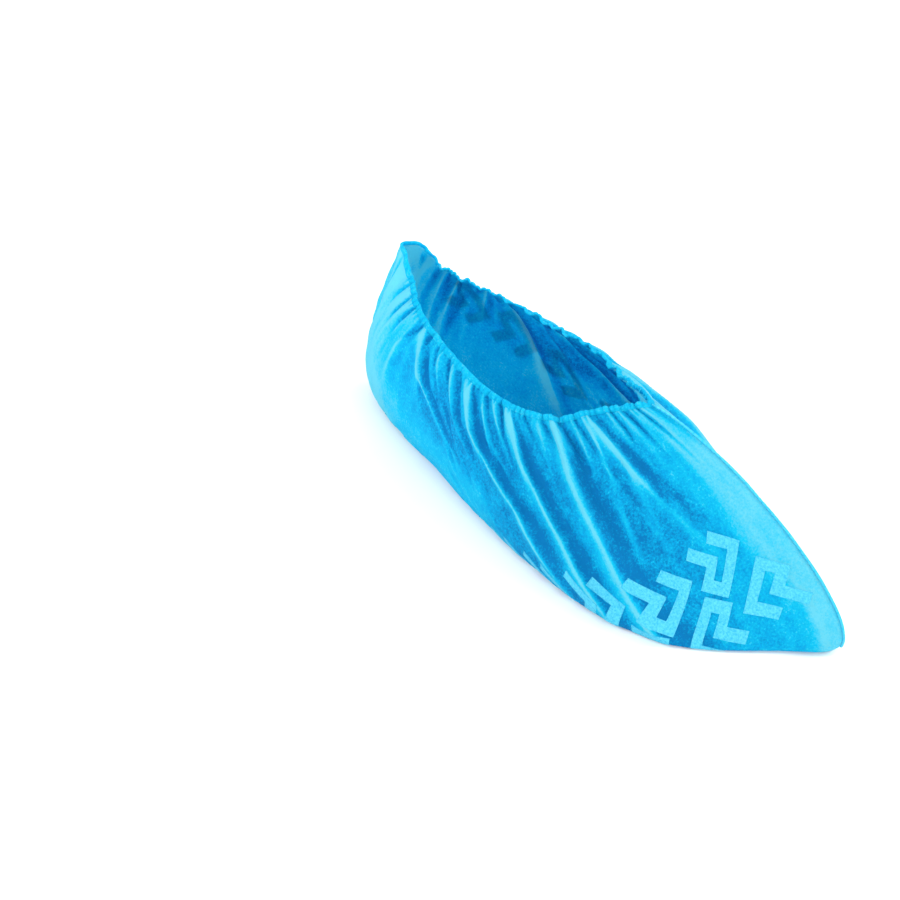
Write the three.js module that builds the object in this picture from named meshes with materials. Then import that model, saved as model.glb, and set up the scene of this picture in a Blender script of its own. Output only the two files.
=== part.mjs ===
// A disposable non-slip shoe cover in the form that it takes when worn over a shoe.
// One sheet of nonwoven cloth is folded under the sole and welded along two seams, over the toes and
// up the heel. Elastic rolled into the hem gathers the mouth, and the folds fan out from there.
// Millimetres. X runs from heel to toe, Y to the wearer's left and Z up. The sole lies on Z = 0.
import * as THREE from "three";

// Driving sizes
const CLOTH = 1.0; // wall of the cover
const GAP = 0.4; // left between neighbouring pieces
const SOLE_CORNER = 7; // how far in from its edge the flat sole starts to turn up
const CORNER_END = 0.06; // share of the side that the turn takes
const HEM_WIDE = 5; // hem rolled over its elastic, measured down the side
const HEM_THICK = 2.4;
const FIN_THICK = 1.4; // two welded layers of cloth
const HEEL_FIN = 6.5; // how far the welded edges stand out behind the heel
const TOE_FIN = 2.5;
const FIN_END = 0.8; // how far a fin stands out where it starts and stops
const FIN_LEAN = 0.7; // under 1 puts its widest part nearer the sole than the hem

// Steps of the mesh
const ALONG = 92; // from the heel seam to the toe seam, on each side
const UP_SOLE = 2; // from the middle of the sole to its corner
const UP_CORNER = 2;
const UP_SIDE = 8; // from the corner to the hem
const UP = UP_SOLE + UP_CORNER + UP_SIDE;
const HEM_SIDES = 6;

// One row for each station of the cloth, from the heel seam (at 0) to the toe seam (at 1). From the middle
// of the sole the cloth runs out to edge [x, y], then up the side to hem [x, y, z]. The side is a curve
// drawn towards rise and shoulder, which it doesn't reach. Both sides are alike, so Y is a distance.
const STATIONS = [
  { at: 0.0, edge: [-158, 0], rise: [-175, 0, 22], shoulder: [-162, 0, 72], hem: [-151, 0, 105] },
  { at: 0.035, edge: [-155, 8], rise: [-171, 14, 20], shoulder: [-159, 15, 74], hem: [-147, 8, 101] },
  { at: 0.07, edge: [-149, 14], rise: [-163, 23, 18], shoulder: [-153, 23, 73], hem: [-139, 12, 93] },
  { at: 0.18, edge: [-124, 26], rise: [-137, 38, 17], shoulder: [-136, 39, 68], hem: [-124, 21, 87] },
  { at: 0.32, edge: [-82, 38], rise: [-92, 52, 14], shoulder: [-98, 49, 62], hem: [-94, 31, 80] },
  { at: 0.46, edge: [-35, 51], rise: [-44, 67, 12], shoulder: [-64, 54, 58], hem: [-63, 37, 74] },
  { at: 0.6, edge: [15, 61], rise: [2, 77, 10], shoulder: [-23, 53, 57], hem: [-36, 37, 72] },
  { at: 0.72, edge: [61, 64], rise: [50, 77, 9], shoulder: [15, 47, 56], hem: [-13, 29, 73] },
  { at: 0.84, edge: [104, 53], rise: [94, 58, 9], shoulder: [51, 32, 58], hem: [4, 16, 81] },
  { at: 0.93, edge: [140, 25], rise: [142, 26, 15], shoulder: [80, 15, 63], hem: [18, 8, 87] },
  { at: 1.0, edge: [161, 0], rise: [183, 0, 27], shoulder: [102, 0, 69], hem: [27, 0, 90] },
];

// Long folds that run down and forward from the hem. at_hem and at_foot are stations, reach is how far
// down towards the sole the fold goes, height is how far its crest stands out, wide is half its width.
const NEAR_FOLDS = [
  { at_hem: 0.14, at_foot: 0.13, reach: 0.75, height: 3.5, wide: 0.022 },
  { at_hem: 0.28, at_foot: 0.38, reach: 0.8, height: 4.5, wide: 0.022 },
  { at_hem: 0.38, at_foot: 0.68, reach: 0.85, height: 4.0, wide: 0.018 },
  { at_hem: 0.47, at_foot: 0.66, reach: 0.8, height: 3.0, wide: 0.018 },
  { at_hem: 0.55, at_foot: 0.72, reach: 1.0, height: 4.5, wide: 0.018 },
  { at_hem: 0.64, at_foot: 0.8, reach: 1.0, height: 5.5, wide: 0.02 },
  { at_hem: 0.77, at_foot: 0.98, reach: 0.5, height: 3.5, wide: 0.02 },
];
const FAR_FOLDS = [
  { at_hem: 0.17, at_foot: 0.14, reach: 0.8, height: 4.0, wide: 0.022 },
  { at_hem: 0.31, at_foot: 0.4, reach: 0.85, height: 4.0, wide: 0.022 },
  { at_hem: 0.43, at_foot: 0.56, reach: 0.9, height: 4.0, wide: 0.02 },
  { at_hem: 0.53, at_foot: 0.7, reach: 1.0, height: 4.0, wide: 0.018 },
  { at_hem: 0.65, at_foot: 0.78, reach: 0.9, height: 3.5, wide: 0.02 },
  { at_hem: 0.8, at_foot: 0.94, reach: 0.5, height: 2.0, wide: 0.02 },
];

// Small gathers that the elastic pulls up below the hem, on each side
const GATHERS = 19;
const GATHER_HEIGHT = 1.4;
const GATHER_REACH = 0.3; // share of the side that they run down

const smooth = (t) => THREE.MathUtils.smoothstep(t, 0, 1);

// A smooth curve through one value of every station. Past a seam the values go on as on the other side,
// so the two sides meet there without a kink.
function throughStations(pick, crossesSeam, at) {
  const last = STATIONS.length - 1;
  const flip = crossesSeam ? -1 : 1;
  const before = { at: -STATIONS[1].at, value: flip * pick(STATIONS[1]) };
  const after = { at: 2 - STATIONS[last - 1].at, value: flip * pick(STATIONS[last - 1]) };
  const knots = [before, ...STATIONS.map((s) => ({ at: s.at, value: pick(s) })), after];
  let i = 1;
  while (i < last && at > knots[i + 1].at) i++;
  const [a, b, c, d] = knots.slice(i - 1, i + 3);
  const span = c.at - b.at;
  const leave = ((c.value - a.value) / (c.at - a.at)) * span;
  const arrive = ((d.value - b.value) / (d.at - b.at)) * span;
  const t = (at - b.at) / span;
  const bend = 2 * (b.value - c.value) + leave + arrive;
  const sag = 3 * (c.value - b.value) - 2 * leave - arrive;
  return b.value + t * (leave + t * (sag + t * bend));
}

function stationPoint(name, at, side) {
  const x = throughStations((s) => s[name][0], false, at);
  const y = throughStations((s) => s[name][1], true, at);
  const z = throughStations((s) => s[name][2] ?? 0, false, at);
  return new THREE.Vector3(x, side * y, z);
}

// The points of one station, from the middle of the sole to the hem, before any folds.
function sectionPoints(at, side) {
  const place = (name) => stationPoint(name, at, side);
  const [edge, rise, shoulder, hem] = ["edge", "rise", "shoulder", "hem"].map(place);
  const wall = new THREE.CubicBezierCurve3(edge, rise, shoulder, hem);
  const middle = new THREE.Vector3(edge.x, 0, 0);
  const inset = Math.min(SOLE_CORNER, Math.abs(edge.y) / 2);
  const turnStart = new THREE.Vector3(edge.x, edge.y - side * inset, 0);
  const turn = new THREE.QuadraticBezierCurve3(turnStart, edge, wall.getPoint(CORNER_END));
  const points = [];
  for (let i = 0; i < UP_SOLE; i++) points.push(middle.clone().lerp(turnStart, i / UP_SOLE));
  for (let i = 0; i < UP_CORNER; i++) points.push(turn.getPoint(i / UP_CORNER));
  for (let i = 0; i <= UP_SIDE; i++) {
    points.push(wall.getPoint(THREE.MathUtils.lerp(CORNER_END, 1, i / UP_SIDE)));
  }
  return points;
}

// How far the folded cloth stands out. down is 0 at the hem and 1 where the sole turns up.
function foldHeight(at, down, side) {
  const folds = side < 0 ? NEAR_FOLDS : FAR_FOLDS;
  let height = 0;
  for (const fold of folds) {
    const crest = THREE.MathUtils.lerp(fold.at_hem, fold.at_foot, down);
    const across = (at - crest) / (fold.wide * (1 + down));
    const along = smooth(down / 0.15) * smooth((fold.reach - down) / 0.3);
    height += fold.height * along * Math.exp(-across * across);
  }
  const gather = GATHER_HEIGHT * Math.cos(2 * Math.PI * GATHERS * at) * smooth(1 - down / GATHER_REACH);
  const awayFromSeams = smooth(Math.min(at, 1 - at) / 0.06);
  const awayFromSole = smooth((0.9 - down) / 0.2);
  return (height + gather) * awayFromSeams * awayFromSole;
}

// A grid of points: a row for each station, running from the near hem under the sole to the far hem.
// On a seam the near and far sides share their points, and the sole has run out to a single one.
const COLUMNS = 2 * UP + 1;
function coverGrid() {
  const points = [];
  const keep = (point) => points.push(point) - 1;
  const grid = [];
  for (let i = 0; i <= ALONG; i++) {
    const onSeam = i === 0 || i === ALONG;
    const [middle, ...near] = sectionPoints(i / ALONG, -1);
    const far = sectionPoints(i / ALONG, 1).slice(1);
    const shared = keep(middle);
    const nearRow = near.map((point, k) => (onSeam && k < UP_SOLE ? shared : keep(point)));
    const farRow = onSeam ? nearRow : far.map(keep);
    grid.push([...nearRow.toReversed(), shared, ...farRow]);
  }
  return { points, grid };
}

function gridTriangles(grid) {
  const triangles = [];
  for (let i = 0; i < grid.length - 1; i++) {
    for (let j = 0; j < COLUMNS - 1; j++) {
      const [a, b, c, d] = [grid[i][j], grid[i + 1][j], grid[i + 1][j + 1], grid[i][j + 1]];
      if (a !== d) triangles.push([a, d, b]);
      if (b !== c) triangles.push([b, d, c]);
    }
  }
  return triangles;
}

// For each point the direction away from the inside, and how much longer than the wall's thickness the
// step inwards must be there, so that the walls that meet in a crease keep that thickness.
function outwardSteps(points, triangles) {
  const faces = triangles.map(([a, b, c]) => new THREE.Triangle(points[a], points[b], points[c]));
  const directions = points.map(() => new THREE.Vector3());
  triangles.forEach((corners, i) => {
    const weighted = faces[i].getNormal(new THREE.Vector3()).multiplyScalar(faces[i].getArea());
    corners.forEach((p) => directions[p].add(weighted));
  });
  directions.forEach((direction) => direction.normalize());
  const leans = points.map(() => 1);
  triangles.forEach((corners, i) => {
    const normal = faces[i].getNormal(new THREE.Vector3());
    corners.forEach((p) => {
      leans[p] = Math.min(leans[p], normal.dot(directions[p]));
    });
  });
  return directions.map((direction, p) => direction.clone().divideScalar(Math.max(leans[p], 0.6)));
}

function solid(points, triangles) {
  const geometry = new THREE.BufferGeometry().setFromPoints(points);
  geometry.setIndex(triangles.flat());
  geometry.computeVertexNormals();
  return geometry;
}

// The outer skin with its folds, and the same points moved in by the wall's thickness.
function coverWalls() {
  const { points, grid } = coverGrid();
  const triangles = gridTriangles(grid);
  const plain = outwardSteps(points, triangles).map((step) => step.normalize());
  const outer = points.map((point) => point.clone());
  for (let i = 1; i < ALONG; i++) {
    for (let j = 0; j < COLUMNS; j++) {
      const up = Math.abs(j - UP) - UP_SOLE;
      const down = 1 - up / (UP_CORNER + UP_SIDE);
      const p = grid[i][j];
      if (up > 0) outer[p].addScaledVector(plain[p], foldHeight(i / ALONG, down, Math.sign(j - UP)));
    }
  }
  const steps = outwardSteps(outer, triangles);
  const inner = outer.map((point, p) => point.clone().addScaledVector(steps[p], -CLOTH));
  return { outer, inner, steps, grid, triangles };
}

// The points round the mouth, forward along the near side and back along the far one.
function mouthLoop(grid) {
  const near = grid.map((row) => row[0]);
  const far = grid.slice(1, -1).map((row) => row[COLUMNS - 1]);
  return [...near, ...far.reverse()];
}

function coverBody({ outer, inner, grid, triangles }) {
  const count = outer.length;
  const inside = triangles.map(([a, b, c]) => [count + a, count + c, count + b]);
  const loop = mouthLoop(grid);
  const lip = loop.flatMap((a, i) => {
    const b = loop[(i + 1) % loop.length];
    return [[a, b, count + a], [b, count + b, count + a]];
  });
  return solid([...outer, ...inner], [...triangles, ...inside, ...lip]);
}

// The hem: a flattened roll that follows the lip of the cover just above it, with all its gathers.
function elasticHem({ outer, inner, steps, grid }) {
  const loop = mouthLoop(grid);
  const below = [...grid.map((row) => row[1]), ...grid.slice(1, -1).map((row) => row[COLUMNS - 2]).reverse()];
  const points = loop.flatMap((p, i) => {
    const lip = outer[p].clone().lerp(inner[p], 0.5);
    const across = steps[p].clone().normalize();
    const up = outer[p].clone().sub(outer[below[i]]).projectOnPlane(across).normalize();
    const middle = lip.addScaledVector(up, GAP + HEM_WIDE / 2);
    return ring(HEM_SIDES, (c, s) =>
      middle.clone().addScaledVector(up, (-c * HEM_WIDE) / 2).addScaledVector(across, (s * HEM_THICK) / 2),
    );
  });
  return solid(points, tubeTriangles(loop.length, HEM_SIDES, true));
}

function ring(sides, place) {
  return Array.from({ length: sides }, (_, k) => {
    const angle = (2 * Math.PI * k) / sides;
    return place(Math.cos(angle), Math.sin(angle));
  });
}

// Triangles of a row of rings, each of the same number of points. An open row gets a flat cap at each end.
function tubeTriangles(count, sides, closed) {
  const triangles = [];
  const steps = closed ? count : count - 1;
  for (let i = 0; i < steps; i++) {
    const here = i * sides;
    const next = ((i + 1) % count) * sides;
    for (let k = 0; k < sides; k++) {
      const l = (k + 1) % sides;
      triangles.push([here + k, next + k, next + l], [here + k, next + l, here + l]);
    }
  }
  if (closed) return triangles;
  const end = (count - 1) * sides;
  for (let k = 1; k < sides - 1; k++) {
    triangles.push([0, k, k + 1], [end, end + k + 1, end + k]);
  }
  return triangles;
}

// A seam: a thin fin that stands out from the cover along one of its ends, from the sole to the lip.
function seamFin({ outer, steps, grid }, row, height) {
  const line = grid[row].slice(0, UP_SIDE + 1).reverse();
  const last = line.length - 1;
  const points = line.flatMap((p, i) => {
    const stands = THREE.MathUtils.lerp(FIN_END, height, Math.sin(Math.PI * (i / last) ** FIN_LEAN));
    const out = steps[p].clone().setY(0).normalize();
    const up = outer[line[Math.min(i + 1, last)]].clone().sub(outer[line[Math.max(i - 1, 0)]]).normalize();
    const half = out.clone().cross(up).setLength(FIN_THICK / 2);
    const root = outer[p].clone().addScaledVector(out, GAP).addScaledVector(up, i === last ? -GAP : 0);
    const tip = root.clone().addScaledVector(out, stands);
    return [root.clone().sub(half), tip.clone().sub(half), tip.clone().add(half), root.clone().add(half)];
  });
  return solid(points, tubeTriangles(line.length, 4, false));
}

function cloth(color) {
  return new THREE.MeshStandardMaterial({ color, roughness: 0.85, metalness: 0, side: THREE.DoubleSide });
}

function piece(name, geometry, material) {
  const mesh = new THREE.Mesh(geometry, material);
  mesh.name = name;
  return mesh;
}

const walls = coverWalls();
const blue = cloth(0x22b4ea);
const paleBlue = cloth(0x5fd2f6);
const cover = new THREE.Group();
cover.add(
  piece("cover_body", coverBody(walls), blue),
  piece("elastic_hem", elasticHem(walls), paleBlue),
  piece("toe_seam", seamFin(walls, ALONG, TOE_FIN), paleBlue),
  piece("heel_seam", seamFin(walls, 0, HEEL_FIN), paleBlue),
);

// The origin goes under the middle of the whole cover.
const middle = new THREE.Box3().setFromObject(cover).getCenter(new THREE.Vector3());
cover.position.set(-middle.x, -middle.y, 0);

export default cover;
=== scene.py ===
# %% [markdown]
# # A disposable shoe cover
# The object is one sheet of blue spunbond cloth, folded under the sole, welded up the heel and over the
# toes, and gathered round the ankle by elastic in a rolled hem. Pale blue chevrons of soft grip coating are
# printed on the bottom. The CAD frame gives the place and the size, and this script makes the looks.
# The cloth could be simulated, but the folds of a worn cover lie where the foot and the elastic put them, so
# here they are charted and raised on one grid of points. That is quick, and it is the same each run.

# %% Load the frame
import math

import bpy
import numpy as np
from mathutils import Matrix, Vector


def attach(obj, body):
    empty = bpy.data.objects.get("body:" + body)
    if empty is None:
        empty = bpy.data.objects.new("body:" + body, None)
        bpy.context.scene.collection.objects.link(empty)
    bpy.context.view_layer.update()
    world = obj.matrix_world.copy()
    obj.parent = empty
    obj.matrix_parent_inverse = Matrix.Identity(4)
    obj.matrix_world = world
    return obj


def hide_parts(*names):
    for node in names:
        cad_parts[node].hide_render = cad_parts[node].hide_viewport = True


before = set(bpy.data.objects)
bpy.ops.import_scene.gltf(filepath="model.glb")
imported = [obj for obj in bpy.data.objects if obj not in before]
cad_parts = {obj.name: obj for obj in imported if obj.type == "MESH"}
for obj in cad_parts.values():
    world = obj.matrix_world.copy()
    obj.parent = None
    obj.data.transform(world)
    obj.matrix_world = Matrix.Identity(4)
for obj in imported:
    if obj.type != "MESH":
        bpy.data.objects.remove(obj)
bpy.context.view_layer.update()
MM = 0.001

# %% [markdown]
# ## The form of the worn cover
# What is inside gives the cover its form. It could be sculpted, or draped over a model. Here it is drawn
# as a boat is, through a few stations. Each station is a line of the cloth from the middle of the sole, round
# the side and up to the hem. The stations lean back as they rise, because the hem is much shorter than the
# sole, and all the folds run along them.

# %% Stations of the cloth
# One row a station, in mm, on the left side. The right side mirrors it. at runs from 0 at the heel to 1 at
# the toes, edge is where the sole turns up, rise and shoulder bend the side, and hem is its top.
STATIONS = [
    dict(at=0.0, edge=(-158, 0), rise=(-181, 0, 23), shoulder=(-160, 0, 72), hem=(-155, 0, 106)),
    dict(at=0.035, edge=(-155, 8), rise=(-178, 18, 22), shoulder=(-158, 15, 74), hem=(-146, 7, 106)),
    dict(at=0.07, edge=(-149, 14), rise=(-170, 29, 20), shoulder=(-154, 23, 73), hem=(-137, 12, 96)),
    dict(at=0.18, edge=(-124, 26), rise=(-140, 41, 18), shoulder=(-136, 39, 68), hem=(-123, 21, 87)),
    dict(at=0.32, edge=(-82, 38), rise=(-92, 52, 14), shoulder=(-98, 49, 62), hem=(-94, 31, 80)),
    dict(at=0.46, edge=(-35, 52), rise=(-44, 69, 12), shoulder=(-64, 54, 58), hem=(-63, 37, 74)),
    dict(at=0.6, edge=(15, 63), rise=(2, 80, 10), shoulder=(-23, 53, 57), hem=(-36, 37, 72)),
    dict(at=0.72, edge=(61, 67), rise=(50, 80, 9), shoulder=(15, 47, 56), hem=(-13, 29, 73)),
    dict(at=0.84, edge=(104, 56), rise=(94, 61, 9), shoulder=(50, 32, 64), hem=(4, 16, 81)),
    dict(at=0.93, edge=(140, 25), rise=(143, 26, 14), shoulder=(74, 15, 79), hem=(18, 8, 87)),
    dict(at=1.0, edge=(161, 0), rise=(185, 0, 22), shoulder=(88, 0, 89), hem=(27, 0, 90)),
]
ORIGIN = np.array([3.53, 0.42, 0.0])  # the frame's origin is under the middle of the box, the table's isn't
SOLE_CORNER = 7.0  # mm of sole that the round of the corner takes up
CORNER_END = 0.06  # share of the side that the round takes up
NEAR, FAR = -1, 1  # the signs of y on the two sides


def along_stations(name, at):
    """One named point of the stations, smoothly blended, at each at. Y changes sign past a seam."""
    rows = np.array([(*s[name], 0)[:3] for s in STATIONS], float)
    place = np.array([s["at"] for s in STATIONS])
    mirror = np.array([1, -1, 1])
    rows = np.concatenate([rows[1:2] * mirror, rows, rows[-2:-1] * mirror])
    place = np.concatenate([[-place[1]], place, [2 - place[-2]]])
    i = np.clip(np.searchsorted(place[1:-1], at, side="right"), 1, len(STATIONS) - 1)
    a, b, c, d = (rows[i + k] for k in (-1, 0, 1, 2))
    pa, pb, pc, pd = (place[i + k][:, None] for k in (-1, 0, 1, 2))
    t = (at[:, None] - pb) / (pc - pb)
    leave = (c - a) / (pc - pa) * (pc - pb)
    arrive = (d - b) / (pd - pb) * (pc - pb)
    return b + t * (leave + t * (3 * (c - b) - 2 * leave - arrive + t * (2 * (b - c) + leave + arrive)))


def bezier(points, t):
    """A Bezier curve of three or four points, at each t: [station, t, xyz]."""
    order = len(points) - 1
    t = t[None, :, None]
    return sum(math.comb(order, k) * (1 - t) ** (order - k) * t**k * p[:, None] for k, p in enumerate(points))


def plain_form(at, sole_steps, corner_steps, side_steps):
    """Points of the left side without folds: [station, from the middle of the sole to the hem, xyz]."""
    edge, rise, shoulder, hem = (along_stations(name, at) for name in ("edge", "rise", "shoulder", "hem"))
    middle = edge * [1, 0, 0]
    inset = np.minimum(SOLE_CORNER, edge[:, 1:2] / 2) * [0, 1, 0]
    wall = [edge, rise, shoulder, hem]
    corner_top = bezier(wall, np.array([CORNER_END]))[:, 0]
    sole = bezier([middle, (middle + edge - inset) / 2, edge - inset], np.arange(sole_steps) / sole_steps)
    corner = bezier([edge - inset, edge, corner_top], np.arange(corner_steps) / corner_steps)
    side = bezier(wall, CORNER_END + (1 - CORNER_END) * np.linspace(0, 1, side_steps + 1))
    return np.concatenate([sole, corner, side], axis=1)


print("stations:", len(STATIONS), "hem height, mm, heel to toes:", [s["hem"][2] for s in STATIONS])

# %% [markdown]
# ## Folds and gathers
# Elastic pulls the long edge of the sheet together, so the cloth below it has too much length and stands
# up in pleats. Close to the hem they are small and even. Further down they join into a few long folds,
# which lean towards the toes. A fold is steep on its toe side and soft on its heel side, as it hangs over.
# A texture could push them out, but it can't follow a fold by name. So each long fold is a row of a table
# with the stations that its crest passes, and the small ones come from a seeded generator.

# %% The long folds
# path holds the station that the crest passes at the hem, at three levels on the way down, and at the foot.
# reach is the share of the side that the fold runs down, height is in mm, and wide is in stations.
NEAR_FOLDS = [
    dict(path=(0.05, 0.045, 0.04, 0.04, 0.04), reach=0.4, height=0.8, wide=0.010),
    dict(path=(0.10, 0.085, 0.075, 0.07, 0.07), reach=0.45, height=1.1, wide=0.011),
    dict(path=(0.16, 0.125, 0.105, 0.10, 0.10), reach=0.5, height=1.4, wide=0.012),
    dict(path=(0.215, 0.203, 0.19, 0.175, 0.17), reach=0.6, height=1.6, wide=0.009),
    dict(path=(0.245, 0.305, 0.44, 0.50, 0.55), reach=0.5, height=3.8, wide=0.010),
    dict(path=(0.32, 0.37, 0.48, 0.55, 0.60), reach=0.4, height=2.4, wide=0.009),
    dict(path=(0.375, 0.425, 0.53, 0.60, 0.64), reach=0.5, height=2.6, wide=0.009),
    dict(path=(0.44, 0.485, 0.61, 0.668, 0.70), reach=0.9, height=4.6, wide=0.013),
    dict(path=(0.50, 0.545, 0.64, 0.69, 0.72), reach=0.5, height=2.4, wide=0.009),
    dict(path=(0.585, 0.622, 0.69, 0.735, 0.755), reach=1.0, height=4.6, wide=0.012),
    dict(path=(0.66, 0.69, 0.735, 0.77, 0.80), reach=0.4, height=1.6, wide=0.008),
    dict(path=(0.708, 0.733, 0.768, 0.80, 0.825), reach=1.1, height=6.2, wide=0.016),
    dict(path=(0.765, 0.776, 0.795, 0.82, 0.84), reach=0.45, height=2.0, wide=0.009),
    dict(path=(0.79, 0.82, 0.85, 0.87, 0.88), reach=0.3, height=1.8, wide=0.008),
    dict(path=(0.806, 0.862, 0.915, 0.95, 0.96), reach=0.46, height=5.2, wide=0.011),
    dict(path=(0.87, 0.905, 0.935, 0.95, 0.96), reach=0.2, height=1.0, wide=0.010),
    dict(path=(0.92, 0.93, 0.945, 0.955, 0.96), reach=0.2, height=1.0, wide=0.012),
    dict(path=(0.80, 0.81, 0.822, 0.845, 0.87), reach=0.85, height=2.0, wide=0.012),
    dict(path=(0.83, 0.85, 0.865, 0.885, 0.90), reach=0.75, height=1.6, wide=0.012),
]
FAR_FOLDS = [
    dict(path=(0.06, 0.05, 0.05, 0.045, 0.045), reach=0.55, height=1.8, wide=0.010),
    dict(path=(0.12, 0.10, 0.09, 0.085, 0.08), reach=0.6, height=2.4, wide=0.011),
    dict(path=(0.18, 0.15, 0.125, 0.12, 0.11), reach=0.75, height=3.0, wide=0.012),
    dict(path=(0.24, 0.225, 0.22, 0.21, 0.20), reach=0.5, height=2.6, wide=0.010),
    dict(path=(0.29, 0.315, 0.345, 0.375, 0.40), reach=0.85, height=3.8, wide=0.011),
    dict(path=(0.345, 0.385, 0.42, 0.46, 0.50), reach=0.5, height=2.6, wide=0.010),
    dict(path=(0.395, 0.45, 0.52, 0.575, 0.60), reach=0.9, height=3.8, wide=0.011),
    dict(path=(0.46, 0.51, 0.57, 0.61, 0.64), reach=0.6, height=2.8, wide=0.010),
    dict(path=(0.53, 0.585, 0.64, 0.68, 0.70), reach=1.0, height=4.4, wide=0.011),
    dict(path=(0.59, 0.64, 0.69, 0.725, 0.75), reach=0.65, height=3.0, wide=0.010),
    dict(path=(0.65, 0.70, 0.74, 0.77, 0.79), reach=0.95, height=4.0, wide=0.011),
    dict(path=(0.72, 0.77, 0.81, 0.84, 0.86), reach=0.5, height=3.0, wide=0.010),
    dict(path=(0.79, 0.85, 0.90, 0.93, 0.95), reach=0.4, height=2.8, wide=0.010),
    dict(path=(0.86, 0.895, 0.92, 0.94, 0.95), reach=0.3, height=1.8, wide=0.010),
]
LEVELS = (0, 0.25, 0.5, 0.75, 1)
LEAN = dict(  # how many stations the small pleats lean over on their way down
    at=(0, 0.1, 0.2, 0.28, 0.4, 0.5, 0.65, 0.78, 0.92, 1),
    by=(0, -0.05, -0.1, 0.06, 0.26, 0.2, 0.14, 0.2, 0.05, 0),
)
GATHERS = 22  # small pleats on each side, about one every 9 mm of hem
GATHER_HEIGHT = 3.4  # mm
GATHER_REACH = 0.3  # share of the side that they run down
RIBS = 62  # fine puckers of the hem on each side
RIB_HEIGHT = 0.9
CREASE_HEIGHT = 0.7  # mm of fine uneven creases between the folds
BUMP_HEIGHT = 0.5  # mm of soft unevenness everywhere
SMALL_FOLDS = 30  # on each side
HEEL_SLOPE, TOE_SLOPE = 1.5, 0.7  # how softly a fold falls on its two sides
CREST_ROUND, CREST_LOW = 0.06, 0.245  # how round the crest is, and what the round takes off its top
HOLLOW_DEEP, HOLLOW_AT, HOLLOW_WIDE = 0.3, 1.9, 0.9  # the hollow on the toe side, as shares of the fold
SEED = 7


def smooth(t):
    """0 up to 0, 1 from 1 on, and an even bend between."""
    t = np.clip(t, 0, 1)
    return t * t * (3 - 2 * t)


def soft_noise(x, y, seed):
    """Smooth noise from -1 to 1 that changes over about 1 unit of x and of y."""
    table = np.random.default_rng(seed).uniform(-1, 1, (64, 64))
    xi, yi = np.floor(x).astype(int), np.floor(y).astype(int)
    fx, fy = smooth(x - xi), smooth(y - yi)
    low = table[xi % 64, yi % 64] * (1 - fx) + table[(xi + 1) % 64, yi % 64] * fx
    high = table[xi % 64, (yi + 1) % 64] * (1 - fx) + table[(xi + 1) % 64, (yi + 1) % 64] * fx
    return low * (1 - fy) + high * fy


def ridge(x):
    """A fold across its crest at 0: a soft rise on the heel side, a steep fall to a hollow beyond it."""
    away = np.sqrt((x / np.where(x < 0, HEEL_SLOPE, TOE_SLOPE)) ** 2 + CREST_ROUND) - CREST_LOW
    hollow = np.exp(-(((x - HOLLOW_AT) / HOLLOW_WIDE) ** 2))
    return np.exp(-away) - HOLLOW_DEEP * hollow


def rib_swell(along):
    """The hem's fine puckers, 0 in a crease and 1 between. along is 0 to 1 near side, 1 to 2 far side."""
    ribs = RIBS * along + 0.6 * soft_noise(along * 23, along * 0 + 0.5, SEED + 20)
    return np.abs(np.sin(np.pi * ribs)) ** 0.6


def small_folds(seed):
    """A seeded row of short pleats between the long ones."""
    rng = np.random.default_rng(seed)
    rows = []
    for k in range(SMALL_FOLDS):
        at = (k + rng.uniform(0.1, 0.9)) / SMALL_FOLDS
        lean = float(np.interp(at, LEAN["at"], LEAN["by"])) * rng.uniform(0.7, 1.3)
        path = tuple(at + lean * level for level in LEVELS)
        height = rng.uniform(0.5, 1.6) * (1 if 0.25 < at < 0.78 else 0.5)
        reach, wide = rng.uniform(0.2, 0.6), rng.uniform(0.005, 0.009)
        rows.append(dict(path=path, reach=reach, height=height, wide=wide))
    return rows


def stand_out(at, down, side):
    """How far the cloth stands out in mm. down is 0 at the hem and 1 where the sole turns up."""
    at, down = at[:, None], down[None, :]
    seed = SEED + (0 if side == NEAR else 50)
    height = np.zeros(np.broadcast(at, down).shape)
    folds = (NEAR_FOLDS if side == NEAR else FAR_FOLDS) + small_folds(seed)
    for k, fold in enumerate(folds):
        wander = 0.005 * soft_noise(down * 4 + 3 * k, down * 0 + 0.5, seed + 1)
        crest = np.interp(down, LEVELS, fold["path"]) + wander * smooth(down * 4)
        swell = 1 + 0.25 * soft_noise(down * 5 + 7 * k, down * 0 + 0.5, seed + 2)
        across = (at - crest) / (fold["wide"] * (1 + 0.7 * down))
        along = (0.3 + 0.7 * smooth(down / 0.16)) * smooth((fold["reach"] - down) / 0.35)
        height += fold["height"] * swell * along * ridge(across)
    line = at - np.interp(at, LEAN["at"], LEAN["by"]) * down
    turns = GATHERS * line + 0.4 * soft_noise(line * 13, down * 3, seed + 3)
    size = GATHER_HEIGHT * (1 + 0.5 * soft_noise(line * 17, down * 0 + 0.5, seed + 4))
    puff = (0.45 + 0.55 * smooth(down / 0.07)) * smooth(1 - down / GATHER_REACH) ** 1.3
    height += size * (np.abs(np.sin(np.pi * turns)) ** 0.7 - 0.55) * puff
    height += CREASE_HEIGHT * soft_noise(line * 60, down * 6, seed + 5) * (1 - 0.6 * down)
    height += BUMP_HEIGHT * soft_noise(at * 26, down * 9, seed + 6)
    height += RIB_HEIGHT * (rib_swell(at if side == NEAR else 2 - at) - 0.7) * smooth(1 - down / 0.07)
    away_from_seams = smooth(np.minimum(at, 1 - at) / 0.05)
    away_from_sole = smooth((0.97 - down) / 0.15)
    return height * away_from_seams * away_from_sole


print("charted folds:", len(NEAR_FOLDS), "near and", len(FAR_FOLDS), "far")
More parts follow.
